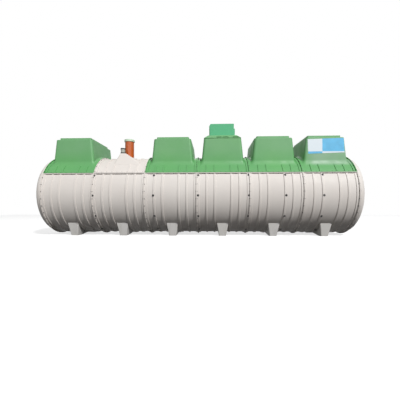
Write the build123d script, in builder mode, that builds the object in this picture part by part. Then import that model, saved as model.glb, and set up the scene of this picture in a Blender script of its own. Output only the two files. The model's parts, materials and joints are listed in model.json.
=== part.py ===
"""Packaged sewage treatment plant: a long horizontal tank of six bolted ring sections on saddle feet.

The frame is in millimetres with +Z up. X runs along the tank, Y across it, and the origin lies on the
ground under the middle of the tank. Each ring section is a lower shell and an upper shell, bolted
together along a joint plane above the axis, and bolted to its neighbours at lips round each seam. Five
of the upper shells carry a tapered access riser with a lid, and one carries the inlet.
"""

import math
import os

from build123d import *

os.makedirs("parts", exist_ok=True)

# Ring sections, counted from 1 at the low end of X
SECTION_COUNT = 6
SECTION_PITCH = 1050.0
INLET_SECTION_NUMBER = 2
HOUSING_SECTION_NUMBER = 4

# Shell of every section
SHELL_RADIUS = 820.0
SHELL_WALL = 8.0
GROUND_GAP = 23.0
JOINT_ANGLE = 30.8

# Hoop ribs, evenly spaced out from the middle of a section, with none at the middle itself
RIB_SPACING = 163.0
RIBS_EACH_SIDE = 2
RIB_HEIGHT = 13.0
RIB_WIDTH = 38.0
RIB_FLANK_ANGLE = 60.0
SEAM_BAND_WIDTH = 55.0

# Bolting lips round the seams and along the joint
SEAM_LIP_HEIGHT = 32.0
SEAM_LIP_THICKNESS = 12.0
JOINT_LIP_WIDTH = 36.0
JOINT_LIP_THICKNESS = 14.0

# Domed ends
DOME_DEPTH = 265.0
KNUCKLE_RADIUS = 120.0

# Saddle feet
FOOT_TOP_WIDTH = 245.0
FOOT_SOLE_WIDTH = 145.0
FOOT_TOP_ANGLE = 47.0
SOLE_SET_IN = 119.0
SOLE_DEPTH = 110.0
ARCH_RISE = 46.0
SEAT_GAP = 0.3

# Access risers
RISER_ABOVE_CREST = 340.0
RISER_TOP_WIDTH = 780.0
RISER_TOP_DEPTH = 1050.0
RISER_SIDE_DRAFT = 5.7
RISER_FRONT_DRAFT = 1.35
RISER_CORNER_RADIUS = 55.0
RISER_EDGE_RADIUS = 24.0
RISER_WALL = 8.0
UPSTAND_HEIGHT = 40.0
UPSTAND_WALL = 8.0

# Riser lids
LID_WIDTH = 676.0
LID_DEPTH = 916.0
LID_CORNER_RADIUS = 50.0
LID_THICKNESS = 10.0
LID_SKIRT_WALL = 8.0
LID_SKIRT_CLEARANCE = 6.0
LID_EDGE_CHAMFER = 7.0
LID_PANEL_INSET = 70.0
LID_PANEL_HEIGHT = 5.0

# Hooded lid under the blower housing, with sloping sides
HOOD_WIDTH = 776.0
HOOD_DEPTH = 1046.0
HOOD_THICKNESS = 40.0
HOOD_SLOPE_WIDTH = 78.0
HOOD_SLOPE_HEIGHT = 68.0
HOOD_DECK_CORNER_RADIUS = 20.0

# Blower housing on the hooded lid
HOUSING_WIDTH = 562.0
HOUSING_DEPTH = 460.0
HOUSING_HEIGHT = 201.0
HOUSING_WALL = 6.0
HOUSING_CORNER_RADIUS = 28.0
COVER_INSET = 20.0
COVER_HEIGHT = 118.0
COVER_SLOPE_WIDTH = 28.0
COVER_SLOPE_HEIGHT = 50.0

# Inlet riser pipe with its collar and cap
PIPE_RADIUS = 100.0
PIPE_WALL = 6.0
PIPE_SETBACK = -60.0
PIPE_ABOVE_CREST = 429.0
PIPE_BELOW_CREST = 120.0
PIPE_FIT = 0.3
COLLAR_WALL = 14.0
COLLAR_ABOVE_CREST = 26.0
CAP_OVERHANG = 14.0
CAP_TOP = 10.0
CAP_SKIRT = 38.0

# Moulded boss in front of the inlet pipe, with a sealed vent stub on it
BOSS_OFFSET = -66.0
BOSS_TOP_WIDTH = 126.0
BOSS_ABOVE_CREST = 85.0
BOSS_LEFT_ANGLE = 76.0
BOSS_RIGHT_ANGLE = 34.0
BOSS_FOOT_SET_IN = 14.0
BOSS_FRONT_BROW = 330.0
BOSS_BACK_BROW = 90.0
BOSS_BACK_FOOT = 190.0
BOSS_EDGE_RADIUS = 18.0
STUB_RADIUS = 47.0
STUB_HEIGHT = 118.0
STUB_WALL = 5.0
STUB_SETBACK = -270.0
STUB_EDGE_GAP = 2.0
BAND_THICKNESS = 5.0
BAND_HEIGHT = 22.0

# Values worked out from the sizes above
HALF_LENGTH = SECTION_COUNT * SECTION_PITCH / 2
INNER_RADIUS = SHELL_RADIUS - SHELL_WALL
LIP_RADIUS = SHELL_RADIUS + SEAM_LIP_HEIGHT
AXIS_HEIGHT = LIP_RADIUS + GROUND_GAP
CREST_Z = AXIS_HEIGHT + SHELL_RADIUS
JOINT_Z = AXIS_HEIGHT + SHELL_RADIUS * math.sin(math.radians(JOINT_ANGLE))
JOINT_HALF_WIDTH = SHELL_RADIUS * math.cos(math.radians(JOINT_ANGLE))
RISER_TOP_Z = CREST_Z + RISER_ABOVE_CREST
LID_UNDERSIDE_Z = RISER_TOP_Z + UPSTAND_HEIGHT
LID_TOP_Z = LID_UNDERSIDE_Z + LID_THICKNESS
HOUSING_BASE_Z = LID_UNDERSIDE_Z + HOOD_THICKNESS
HOUSING_TOP_Z = HOUSING_BASE_Z + HOUSING_HEIGHT
PIPE_TOP_Z = CREST_Z + PIPE_ABOVE_CREST
COLLAR_TOP_Z = CREST_Z + COLLAR_ABOVE_CREST
BOSS_TOP_Z = CREST_Z + BOSS_ABOVE_CREST
STUB_OFFSET = BOSS_OFFSET - BOSS_TOP_WIDTH / 2 + STUB_EDGE_GAP + STUB_RADIUS

TANK_AXIS = Axis((0, 0, AXIS_HEIGHT), (1, 0, 0))
PROFILE_PLANE = Plane.XY.offset(AXIS_HEIGHT)
JOINT_PLANE = Plane.XY.offset(JOINT_Z)


def section_middle(number):
    """X of the middle of a ring section."""
    return -HALF_LENGTH + SECTION_PITCH * (number - 0.5)


def section_outline(middle):
    """Half outline of a section, from the axis out to its ribs, seam bands and lips."""
    rib_steps = [k * side for k in range(1, RIBS_EACH_SIDE + 1) for side in (-1, 1)]
    with BuildSketch(PROFILE_PLANE) as outline:
        with Locations((middle, 0)):
            Rectangle(SECTION_PITCH, SHELL_RADIUS, align=(Align.CENTER, Align.MIN))
        with Locations([(middle + step * RIB_SPACING, SHELL_RADIUS) for step in rib_steps]):
            Trapezoid(RIB_WIDTH, RIB_HEIGHT, RIB_FLANK_ANGLE, align=(Align.CENTER, Align.MIN))
        for side in (-1, 1):
            seam = middle + side * SECTION_PITCH / 2
            with Locations((seam - side * SEAM_BAND_WIDTH / 2, 0)):
                Rectangle(SEAM_BAND_WIDTH, SHELL_RADIUS + RIB_HEIGHT, align=(Align.CENTER, Align.MIN))
            with Locations((seam - side * SEAM_LIP_THICKNESS / 2, 0)):
                Rectangle(SEAM_LIP_THICKNESS, LIP_RADIUS, align=(Align.CENTER, Align.MIN))
    return outline.sketch


def joint_strips(middle):
    """The two flat strips of a longitudinal bolting lip, drawn in the joint plane."""
    with BuildSketch(JOINT_PLANE) as strips:
        with Locations([(middle, side * JOINT_HALF_WIDTH) for side in (-1, 1)]):
            Rectangle(SECTION_PITCH, 2 * JOINT_LIP_WIDTH)
    return strips.sketch


def bore_circle(middle):
    """Circle of the tank's inside, on a plane across the tank."""
    with BuildSketch(Plane.YZ.offset(middle)) as bore:
        with Locations((0, AXIS_HEIGHT)):
            Circle(INNER_RADIUS)
    return bore.sketch


def make_lower_shell(number):
    """Trough of one section up to the joint plane, with its lips."""
    middle = section_middle(number)
    with BuildPart() as shell:
        revolve(section_outline(middle), axis=TANK_AXIS)
        split(bisect_by=JOINT_PLANE, keep=Keep.BOTTOM)
        extrude(joint_strips(middle), amount=-JOINT_LIP_THICKNESS)
        extrude(bore_circle(middle), amount=SECTION_PITCH, both=True, mode=Mode.SUBTRACT)
    shell.part.label = f"lower_shell_{number}"
    return shell.part


def riser_loop(middle, width, depth, height, radius):
    """Rounded rectangle across a riser at one height."""
    with BuildSketch(Plane.XY.offset(height)) as loop:
        with Locations((middle, 0)):
            RectangleRounded(width, depth, radius)
    return loop.sketch


def riser_block(middle, inset):
    """Tapered block of a riser from the joint plane up, with every face set in by the given amount."""
    height = RISER_TOP_Z - inset - JOINT_Z
    side_slope = math.tan(math.radians(RISER_SIDE_DRAFT))
    front_slope = math.tan(math.radians(RISER_FRONT_DRAFT))
    base_width = RISER_TOP_WIDTH - 2 * inset + 2 * height * side_slope
    base_depth = RISER_TOP_DEPTH - 2 * inset + 2 * height * front_slope
    with BuildPart() as block:
        with BuildSketch(Plane.XZ.offset(-base_depth / 2)):
            with Locations((middle, JOINT_Z)):
                side_angle = 90 - RISER_SIDE_DRAFT
                Trapezoid(base_width, height, side_angle, align=(Align.CENTER, Align.MIN))
        extrude(amount=base_depth)
        with BuildSketch(Plane.YZ.offset(middle - base_width / 2)):
            with Locations((0, JOINT_Z)):
                front_angle = 90 - RISER_FRONT_DRAFT
                Trapezoid(base_depth, height, front_angle, align=(Align.CENTER, Align.MIN))
        extrude(amount=base_width, mode=Mode.INTERSECT)
        fillet(block.edges().group_by(Axis.Z)[1], RISER_CORNER_RADIUS - inset)
        fillet(block.edges().group_by(Axis.Z)[-1], RISER_EDGE_RADIUS - inset)
    return block.part


def make_riser_shell(number):
    """Upper shell of one section with its tapered access riser, open through the top."""
    middle = section_middle(number)
    upstand_width = LID_WIDTH - 2 * (LID_SKIRT_WALL + LID_SKIRT_CLEARANCE)
    upstand_depth = LID_DEPTH - 2 * (LID_SKIRT_WALL + LID_SKIRT_CLEARANCE)
    upstand_radius = LID_CORNER_RADIUS - LID_SKIRT_WALL - LID_SKIRT_CLEARANCE
    hatch_width = upstand_width - 2 * UPSTAND_WALL
    hatch_depth = upstand_depth - 2 * UPSTAND_WALL
    hatch_radius = upstand_radius - UPSTAND_WALL
    deck_underside = RISER_TOP_Z - RISER_WALL
    with BuildPart() as shell:
        revolve(section_outline(middle), axis=TANK_AXIS)
        split(bisect_by=JOINT_PLANE, keep=Keep.TOP)
        extrude(joint_strips(middle), amount=JOINT_LIP_THICKNESS)
        add(riser_block(middle, 0))
        upstand = riser_loop(middle, upstand_width, upstand_depth, RISER_TOP_Z, upstand_radius)
        extrude(upstand, amount=UPSTAND_HEIGHT)
        extrude(bore_circle(middle), amount=SECTION_PITCH, both=True, mode=Mode.SUBTRACT)
        add(riser_block(middle, RISER_WALL), mode=Mode.SUBTRACT)
        hatch = riser_loop(middle, hatch_width, hatch_depth, deck_underside, hatch_radius)
        extrude(hatch, amount=RISER_WALL + UPSTAND_HEIGHT, mode=Mode.SUBTRACT)
    shell.part.label = f"upper_shell_{number}"
    return shell.part


def make_inlet_shell(number):
    """Upper shell of the inlet section, with the pipe's collar and the boss in front of it."""
    middle = section_middle(number)
    boss_height = BOSS_TOP_Z - JOINT_Z
    left_run = boss_height / math.tan(math.radians(BOSS_LEFT_ANGLE))
    right_run = boss_height / math.tan(math.radians(BOSS_RIGHT_ANGLE))
    boss_base_width = BOSS_TOP_WIDTH + left_run + right_run
    boss_left = middle + BOSS_OFFSET - BOSS_TOP_WIDTH / 2 - left_run
    front_foot = JOINT_HALF_WIDTH - BOSS_FOOT_SET_IN
    with BuildPart() as boss:
        with BuildSketch(Plane.XZ.offset(front_foot)):
            with Locations((boss_left, JOINT_Z)):
                Trapezoid(
                    boss_base_width,
                    boss_height,
                    BOSS_LEFT_ANGLE,
                    BOSS_RIGHT_ANGLE,
                    align=(Align.MIN, Align.MIN),
                )
        extrude(amount=-front_foot - BOSS_BACK_FOOT)
        with BuildSketch(Plane.YZ.offset(boss_left)):
            with BuildLine():
                Polyline(
                    (-front_foot, JOINT_Z),
                    (-BOSS_FRONT_BROW, BOSS_TOP_Z),
                    (BOSS_BACK_BROW, BOSS_TOP_Z),
                    (BOSS_BACK_FOOT, JOINT_Z),
                    close=True,
                )
            make_face()
        extrude(amount=boss_base_width, mode=Mode.INTERSECT)
        fillet(boss.edges().group_by(Axis.Z)[-1], BOSS_EDGE_RADIUS)
        with BuildSketch(Plane.YZ.offset(boss_left)):
            with Locations((0, AXIS_HEIGHT)):
                Circle(SHELL_RADIUS - SHELL_WALL / 2)
        extrude(amount=boss_base_width, mode=Mode.SUBTRACT)
    with BuildPart() as shell:
        revolve(section_outline(middle), axis=TANK_AXIS)
        split(bisect_by=JOINT_PLANE, keep=Keep.TOP)
        extrude(joint_strips(middle), amount=JOINT_LIP_THICKNESS)
        add(boss.part)
        with BuildSketch(JOINT_PLANE):
            with Locations((middle, PIPE_SETBACK)):
                Circle(PIPE_RADIUS + COLLAR_WALL)
        extrude(amount=COLLAR_TOP_Z - JOINT_Z)
        extrude(bore_circle(middle), amount=SECTION_PITCH, both=True, mode=Mode.SUBTRACT)
        with BuildSketch(JOINT_PLANE):
            with Locations((middle, PIPE_SETBACK)):
                Circle(PIPE_RADIUS + PIPE_FIT)
        extrude(amount=max(BOSS_TOP_Z, COLLAR_TOP_Z) - JOINT_Z, mode=Mode.SUBTRACT)
    shell.part.label = f"upper_shell_{number}"
    return shell.part


def dome_outline(lip_x, inset):
    """Half outline of a dished end from the axis to its rim: a wide crown arc and a tight knuckle arc."""
    rim_step = SHELL_RADIUS - KNUCKLE_RADIUS
    rise = DOME_DEPTH - KNUCKLE_RADIUS
    crown_radius = (rim_step**2 + DOME_DEPTH**2 - KNUCKLE_RADIUS**2) / (2 * rise)
    crown_x = lip_x + DOME_DEPTH - crown_radius
    blend_angle = math.degrees(math.atan2(rim_step, lip_x - crown_x))
    with BuildSketch(PROFILE_PLANE) as outline:
        with BuildLine():
            CenterArc((crown_x, 0), crown_radius - inset, 0, blend_angle)
            CenterArc((lip_x, rim_step), KNUCKLE_RADIUS - inset, blend_angle, 90 - blend_angle)
            Polyline((lip_x, SHELL_RADIUS - inset), (lip_x, 0), (lip_x + DOME_DEPTH - inset, 0))
        make_face()
    return outline.sketch


def make_end_caps():
    """Dished ends with their own bolting lips, mirror images of each other."""
    lip_x = HALF_LENGTH + SEAM_LIP_THICKNESS
    with BuildPart() as right_cap:
        with BuildSketch(PROFILE_PLANE):
            with Locations((HALF_LENGTH, 0)):
                Rectangle(SEAM_LIP_THICKNESS, LIP_RADIUS, align=(Align.MIN, Align.MIN))
            add(dome_outline(lip_x, 0))
            add(dome_outline(lip_x, SHELL_WALL), mode=Mode.SUBTRACT)
            with Locations((HALF_LENGTH, 0)):
                align = (Align.MIN, Align.MIN)
                Rectangle(SEAM_LIP_THICKNESS, INNER_RADIUS, align=align, mode=Mode.SUBTRACT)
        revolve(axis=TANK_AXIS)
    with BuildPart() as left_cap:
        mirror(right_cap.part, about=Plane.YZ)
    right_cap.part.label = "end_cap_right"
    left_cap.part.label = "end_cap_left"
    return right_cap.part, left_cap.part


def make_saddle(number):
    """Saddle under one section: two outward feet joined by an arch that rises to the tank's underside."""
    middle = section_middle(number)
    top_z = AXIS_HEIGHT - SHELL_RADIUS * math.sin(math.radians(FOOT_TOP_ANGLE))
    top_edge = SHELL_RADIUS * math.cos(math.radians(FOOT_TOP_ANGLE))
    sole_outer_edge = top_edge - SOLE_SET_IN
    sole_inner_edge = sole_outer_edge - SOLE_DEPTH
    flank_angle = math.degrees(math.atan2(top_z, (FOOT_TOP_WIDTH - FOOT_SOLE_WIDTH) / 2))
    with BuildPart() as saddle:
        with BuildSketch(Plane.YZ.offset(middle)):
            with BuildLine():
                Polyline(
                    (-top_edge, top_z),
                    (-sole_outer_edge, 0),
                    (-sole_inner_edge, 0),
                    (0, ARCH_RISE),
                    (sole_inner_edge, 0),
                    (sole_outer_edge, 0),
                    (top_edge, top_z),
                    close=True,
                )
            make_face()
            with Locations((0, AXIS_HEIGHT)):
                Circle(SHELL_RADIUS + SEAT_GAP, mode=Mode.SUBTRACT)
        extrude(amount=FOOT_TOP_WIDTH / 2, both=True)
        with BuildSketch(Plane.XZ.offset(-top_edge)):
            with Locations((middle, top_z)):
                Trapezoid(
                    FOOT_TOP_WIDTH,
                    top_z,
                    flank_angle,
                    rotation=180,
                    align=(Align.CENTER, Align.MIN),
                )
        extrude(amount=2 * top_edge, mode=Mode.INTERSECT)
    saddle.part.label = f"saddle_{number}"
    return saddle.part


def skirt_hollow(middle):
    """Underside of a lid, open round the riser's upstand with a clearance on every side."""
    inner_width = LID_WIDTH - 2 * LID_SKIRT_WALL
    inner_depth = LID_DEPTH - 2 * LID_SKIRT_WALL
    inner_radius = LID_CORNER_RADIUS - LID_SKIRT_WALL
    with BuildPart() as hollow:
        ceiling = riser_loop(middle, inner_width, inner_depth, LID_UNDERSIDE_Z, inner_radius)
        extrude(ceiling, amount=-UPSTAND_HEIGHT)
    return hollow.part


def make_riser_lid(number):
    """Flat lid with a raised panel and a skirt that drops over the riser's upstand."""
    middle = section_middle(number)
    skirt_foot_z = RISER_TOP_Z + LID_SKIRT_CLEARANCE
    panel_width = LID_WIDTH - 2 * LID_PANEL_INSET
    panel_depth = LID_DEPTH - 2 * LID_PANEL_INSET
    with BuildPart() as lid:
        foot = riser_loop(middle, LID_WIDTH, LID_DEPTH, skirt_foot_z, LID_CORNER_RADIUS)
        extrude(foot, amount=LID_TOP_Z - skirt_foot_z)
        chamfer(lid.edges().group_by(Axis.Z)[-1], LID_EDGE_CHAMFER)
        panel = riser_loop(middle, panel_width, panel_depth, LID_TOP_Z, LID_CORNER_RADIUS)
        extrude(panel, amount=LID_PANEL_HEIGHT)
        add(skirt_hollow(middle), mode=Mode.SUBTRACT)
    lid.part.label = f"riser_lid_{number}"
    return lid.part


def make_hooded_lid(number):
    """Thicker lid with sloping sides that carries the blower housing."""
    middle = section_middle(number)
    skirt_foot_z = RISER_TOP_Z + LID_SKIRT_CLEARANCE
    slope_foot_z = HOUSING_BASE_Z - HOOD_SLOPE_HEIGHT
    deck_width = HOOD_WIDTH - 2 * HOOD_SLOPE_WIDTH
    deck_depth = HOOD_DEPTH - 2 * HOOD_SLOPE_WIDTH
    with BuildPart() as lid:
        foot = riser_loop(middle, HOOD_WIDTH, HOOD_DEPTH, skirt_foot_z, LID_CORNER_RADIUS)
        extrude(foot, amount=slope_foot_z - skirt_foot_z)
        slope_foot = riser_loop(middle, HOOD_WIDTH, HOOD_DEPTH, slope_foot_z, LID_CORNER_RADIUS)
        deck = riser_loop(middle, deck_width, deck_depth, HOUSING_BASE_Z, HOOD_DECK_CORNER_RADIUS)
        loft([slope_foot, deck], ruled=True)
        add(skirt_hollow(middle), mode=Mode.SUBTRACT)
    lid.part.label = f"riser_lid_{number}"
    return lid.part


def make_housing(number):
    """Open-topped body of the blower housing, standing on the hooded lid."""
    middle = section_middle(number)
    with BuildPart() as housing:
        base = riser_loop(middle, HOUSING_WIDTH, HOUSING_DEPTH, HOUSING_BASE_Z, HOUSING_CORNER_RADIUS)
        extrude(base, amount=HOUSING_HEIGHT)
        top = housing.faces().sort_by(Axis.Z)[-1]
        offset(amount=-HOUSING_WALL, openings=top)
    housing.part.label = "blower_housing"
    return housing.part


def cover_block(middle, base_z, top_z, inset):
    """Block of the cover, flush with the housing on the left, where its top edge slopes off."""
    left = middle - HOUSING_WIDTH / 2 + inset
    right = middle + HOUSING_WIDTH / 2 - COVER_INSET - inset
    depth = HOUSING_DEPTH - 2 * (COVER_INSET + inset)
    with BuildPart() as block:
        with BuildSketch(Plane.XZ.offset(-depth / 2)):
            with BuildLine():
                Polyline(
                    (left, base_z),
                    (left, top_z - COVER_SLOPE_HEIGHT),
                    (left + COVER_SLOPE_WIDTH, top_z),
                    (right, top_z),
                    (right, base_z),
                    close=True,
                )
            make_face()
        extrude(amount=depth)
        fillet(block.edges().filter_by(Axis.Z), HOUSING_CORNER_RADIUS - COVER_INSET / 2 - inset)
    return block.part


def make_housing_cover(number):
    """Cover that closes the blower housing, with a rim that lies on the housing's walls."""
    middle = section_middle(number)
    top_z = HOUSING_TOP_Z + COVER_HEIGHT
    with BuildPart() as cover:
        rim = riser_loop(middle, HOUSING_WIDTH, HOUSING_DEPTH, HOUSING_TOP_Z, HOUSING_CORNER_RADIUS)
        extrude(rim, amount=HOUSING_WALL)
        add(cover_block(middle, HOUSING_TOP_Z, top_z, 0))
        add(cover_block(middle, HOUSING_TOP_Z, top_z - HOUSING_WALL, HOUSING_WALL), mode=Mode.SUBTRACT)
    cover.part.label = "housing_cover"
    return cover.part


def tube(middle, setback, outer, inner, base_z, height):
    """Upright round tube."""
    with BuildPart() as made:
        with BuildSketch(Plane.XY.offset(base_z)):
            with Locations((middle, setback)):
                Circle(outer)
                Circle(inner, mode=Mode.SUBTRACT)
        extrude(amount=height)
    return made.part


def make_inlet_pipe(number):
    """Upright inlet pipe through the collar on the crest."""
    base_z = CREST_Z - PIPE_BELOW_CREST
    pipe = tube(
        section_middle(number),
        PIPE_SETBACK,
        PIPE_RADIUS,
        PIPE_RADIUS - PIPE_WALL,
        base_z,
        PIPE_TOP_Z - base_z,
    )
    pipe.label = "inlet_pipe"
    return pipe


def make_pipe_cap(number):
    """Push-on cap over the inlet pipe."""
    with BuildPart() as cap:
        with BuildSketch(Plane.XY.offset(PIPE_TOP_Z + CAP_TOP)):
            with Locations((section_middle(number), PIPE_SETBACK)):
                Circle(PIPE_RADIUS + CAP_OVERHANG)
        extrude(amount=-CAP_TOP - CAP_SKIRT)
        chamfer(cap.edges().group_by(Axis.Z)[-1], CAP_TOP / 2)
        with BuildSketch(Plane.XY.offset(PIPE_TOP_Z)):
            with Locations((section_middle(number), PIPE_SETBACK)):
                Circle(PIPE_RADIUS + PIPE_FIT)
        extrude(amount=-CAP_SKIRT, mode=Mode.SUBTRACT)
    cap.part.label = "inlet_pipe_cap"
    return cap.part


def make_vent_stub(number):
    """Short closed stub on the boss, at the left edge of its top."""
    with BuildPart() as stub:
        with BuildSketch(Plane.XY.offset(BOSS_TOP_Z)):
            with Locations((section_middle(number) + STUB_OFFSET, STUB_SETBACK)):
                Circle(STUB_RADIUS)
        extrude(amount=STUB_HEIGHT)
        bottom = stub.faces().sort_by(Axis.Z)[0]
        offset(amount=-STUB_WALL, openings=bottom)
    stub.part.label = "vent_stub"
    return stub.part


def make_stub_band(number, base_z, name):
    """Rubber band clamped round the vent stub."""
    band = tube(
        section_middle(number) + STUB_OFFSET,
        STUB_SETBACK,
        STUB_RADIUS + PIPE_FIT + BAND_THICKNESS,
        STUB_RADIUS + PIPE_FIT,
        base_z,
        BAND_HEIGHT,
    )
    band.label = name
    return band


def build_plant():
    """All pieces of the plant."""
    pieces = []
    for number in range(1, SECTION_COUNT + 1):
        pieces.append(make_lower_shell(number))
        pieces.append(make_saddle(number))
        if number == INLET_SECTION_NUMBER:
            pieces.append(make_inlet_shell(number))
            continue
        pieces.append(make_riser_shell(number))
        if number == HOUSING_SECTION_NUMBER:
            pieces.append(make_hooded_lid(number))
        else:
            pieces.append(make_riser_lid(number))
    pieces.extend(make_end_caps())
    pieces.append(make_housing(HOUSING_SECTION_NUMBER))
    pieces.append(make_housing_cover(HOUSING_SECTION_NUMBER))
    pieces.append(make_inlet_pipe(INLET_SECTION_NUMBER))
    pieces.append(make_pipe_cap(INLET_SECTION_NUMBER))
    pieces.append(make_vent_stub(INLET_SECTION_NUMBER))
    pieces.append(make_stub_band(INLET_SECTION_NUMBER, BOSS_TOP_Z, "stub_band_lower"))
    top_band_z = BOSS_TOP_Z + STUB_HEIGHT - BAND_HEIGHT
    pieces.append(make_stub_band(INLET_SECTION_NUMBER, top_band_z, "stub_band_upper"))
    return pieces


for piece in build_plant():
    export_step(piece, f"parts/{piece.label}.step")
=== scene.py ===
"""Blender scene of a packaged sewage treatment plant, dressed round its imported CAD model.

Lengths are in metres, +Z is up, X runs along the tank and -Y faces the viewer. The sizes of the tank are
measured from the CAD nodes, and each sub-assembly is a class that models its own pieces.
"""

import json
import logging
import math
from collections.abc import Callable, Iterator
from contextlib import contextmanager
from dataclasses import dataclass, field
from enum import Enum

import bmesh
import bpy
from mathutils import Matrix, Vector

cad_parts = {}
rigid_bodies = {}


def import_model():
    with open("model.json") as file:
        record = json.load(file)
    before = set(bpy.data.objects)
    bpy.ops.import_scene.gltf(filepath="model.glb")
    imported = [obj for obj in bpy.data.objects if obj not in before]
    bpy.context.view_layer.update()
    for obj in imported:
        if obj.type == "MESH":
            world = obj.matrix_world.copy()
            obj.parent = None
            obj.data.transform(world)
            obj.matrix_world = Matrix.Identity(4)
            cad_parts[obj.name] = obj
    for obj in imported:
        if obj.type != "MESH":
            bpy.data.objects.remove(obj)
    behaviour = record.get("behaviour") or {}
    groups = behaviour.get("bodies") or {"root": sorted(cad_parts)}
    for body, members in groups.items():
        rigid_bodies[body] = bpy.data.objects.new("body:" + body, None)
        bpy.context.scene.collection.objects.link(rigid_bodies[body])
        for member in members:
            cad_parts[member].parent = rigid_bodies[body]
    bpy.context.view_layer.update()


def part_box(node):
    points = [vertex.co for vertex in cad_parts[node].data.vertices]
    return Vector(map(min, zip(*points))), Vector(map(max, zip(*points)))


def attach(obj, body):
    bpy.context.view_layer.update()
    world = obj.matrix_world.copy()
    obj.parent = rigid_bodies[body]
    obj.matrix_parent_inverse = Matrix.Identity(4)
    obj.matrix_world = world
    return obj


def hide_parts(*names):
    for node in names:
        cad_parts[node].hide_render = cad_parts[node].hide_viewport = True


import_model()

LOG = logging.getLogger("treatment_plant")

SECTION_COUNT = 6
INLET_SECTION = 2
HOUSING_SECTION = 4
LABEL_SECTION = 6
ROOT_BODY = "root"
SIDES = (-1, 1)
CLOSE = 0.0006
FLAT = 0.99
LIP_ROUNDING = 0.0022
LIP_ANGLE = 62.0
SHELL_SMOOTHING = 38.0
NOISE_ROUGHNESS = 0.55

Point = tuple[float, float, float]
Colour = tuple[float, float, float]
Piece = bpy.types.Object
Finish = bpy.types.Material
Socket = bpy.types.NodeSocket


class Picked(Enum):
    """What an edit-mode selection is made of."""

    VERTS = "VERT"
    EDGES = "EDGE"
    FACES = "FACE"


class Join(Enum):
    """How a tool solid is combined with a workpiece."""

    UNION = "UNION"
    CUT = "DIFFERENCE"


def make_only(obj: Piece) -> None:
    """Deselect everything, then select one object and make it active.

    Args:
        obj: The object that the next operator works on.
    """
    bpy.ops.object.select_all(action="DESELECT")
    obj.select_set(True)
    bpy.context.view_layer.objects.active = obj


@contextmanager
def editing(obj: Piece) -> Iterator[None]:
    """Open one object in edit mode for the block, and close it after.

    Args:
        obj: The mesh object to edit.

    Yields:
        Nothing, once the object is open.
    """
    make_only(obj)
    bpy.ops.object.mode_set(mode="EDIT")
    try:
        yield
    finally:
        bpy.ops.object.mode_set(mode="OBJECT")


def pick(kind: Picked, test: Callable) -> None:
    """Select, in edit mode, only the elements that pass a test.

    Args:
        kind: Whether vertices, edges or faces are picked.
        test: Says True for a BMesh element that is wanted.
    """
    bpy.ops.mesh.select_mode(type=kind.value)
    bpy.ops.mesh.select_all(action="DESELECT")
    mesh = bpy.context.edit_object.data
    work = bmesh.from_edit_mesh(mesh)
    work.normal_update()
    for element in getattr(work, kind.name.lower()):
        if test(element):
            element.select_set(True)
    work.select_flush_mode()
    bmesh.update_edit_mesh(mesh)


def pick_all() -> None:
    """Select, in edit mode, the whole mesh."""
    bpy.ops.mesh.select_all(action="SELECT")


def rises(edge: bmesh.types.BMEdge) -> bool:
    """Return whether an edge goes up rather than level."""
    return abs(edge.verts[0].co.z - edge.verts[1].co.z) > CLOSE


def at_top(height: float) -> Callable:
    """Return a test that an edge lies as high as a height."""
    return lambda edge: all(vert.co.z > height - CLOSE for vert in edge.verts)


def bevel(width: float, steps: int) -> None:
    """Bevel, in edit mode, the selected edges."""
    bpy.ops.mesh.bevel(offset=width, segments=steps, affect="EDGES")


def resize(factors: Point, centre: Point) -> None:
    """Resize, in edit mode, the selection about a point."""
    bpy.ops.transform.resize(value=factors, center_override=centre)


def cut_off(point: Point, outward: Point, fill: bool = False) -> None:
    """Cut away, in edit mode, all that lies beyond a plane.

    Args:
        point: A point of the plane.
        outward: Its normal, on the side that goes.
        fill: Whether the cut is closed with a face.
    """
    pick_all()
    bpy.ops.mesh.bisect(plane_co=point, plane_no=outward, clear_outer=True, use_fill=fill)


def turn_faces_out() -> None:
    """Make, in edit mode, all faces of a closed mesh point outwards."""
    pick_all()
    bpy.ops.mesh.normals_make_consistent(inside=False)


def flip(obj: Piece) -> None:
    """Flip all faces of a piece.

    Args:
        obj: The piece.
    """
    with editing(obj):
        pick_all()
        bpy.ops.mesh.flip_normals()


def round_uprights(obj: Piece, width: float, steps: int) -> None:
    """Round the upright edges of a block.

    Args:
        obj: The block.
        width: Width of the rounding.
        steps: Segments across it.
    """
    with editing(obj):
        pick(Picked.EDGES, rises)
        bevel(width, steps)


def settle(obj: Piece) -> None:
    """Move an object's place, turn and size into its mesh.

    Args:
        obj: The object to settle at the origin.
    """
    make_only(obj)
    bpy.ops.object.transform_apply(location=True, rotation=True, scale=True)


def add(make: Callable, name: str, **settings: object) -> Piece:
    """Run an operator that adds a mesh, and settle the new object.

    Args:
        make: The operator.
        name: Name of the new object.
        settings: What the operator is called with.

    Returns:
        The settled object.
    """
    bpy.ops.object.select_all(action="DESELECT")
    make(**settings)
    obj = bpy.context.object
    obj.name = name
    settle(obj)
    return obj


def add_block(name: str, low: Point, high: Point) -> Piece:
    """Add a box between two corners.

    Args:
        name: Name of the new object.
        low: Lowest corner.
        high: Highest corner.

    Returns:
        The settled box.
    """
    middle = [(a + b) / 2 for a, b in zip(low, high)]
    size = [b - a for a, b in zip(low, high)]
    return add(bpy.ops.mesh.primitive_cube_add, name, size=1.0, location=middle, scale=size)


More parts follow.
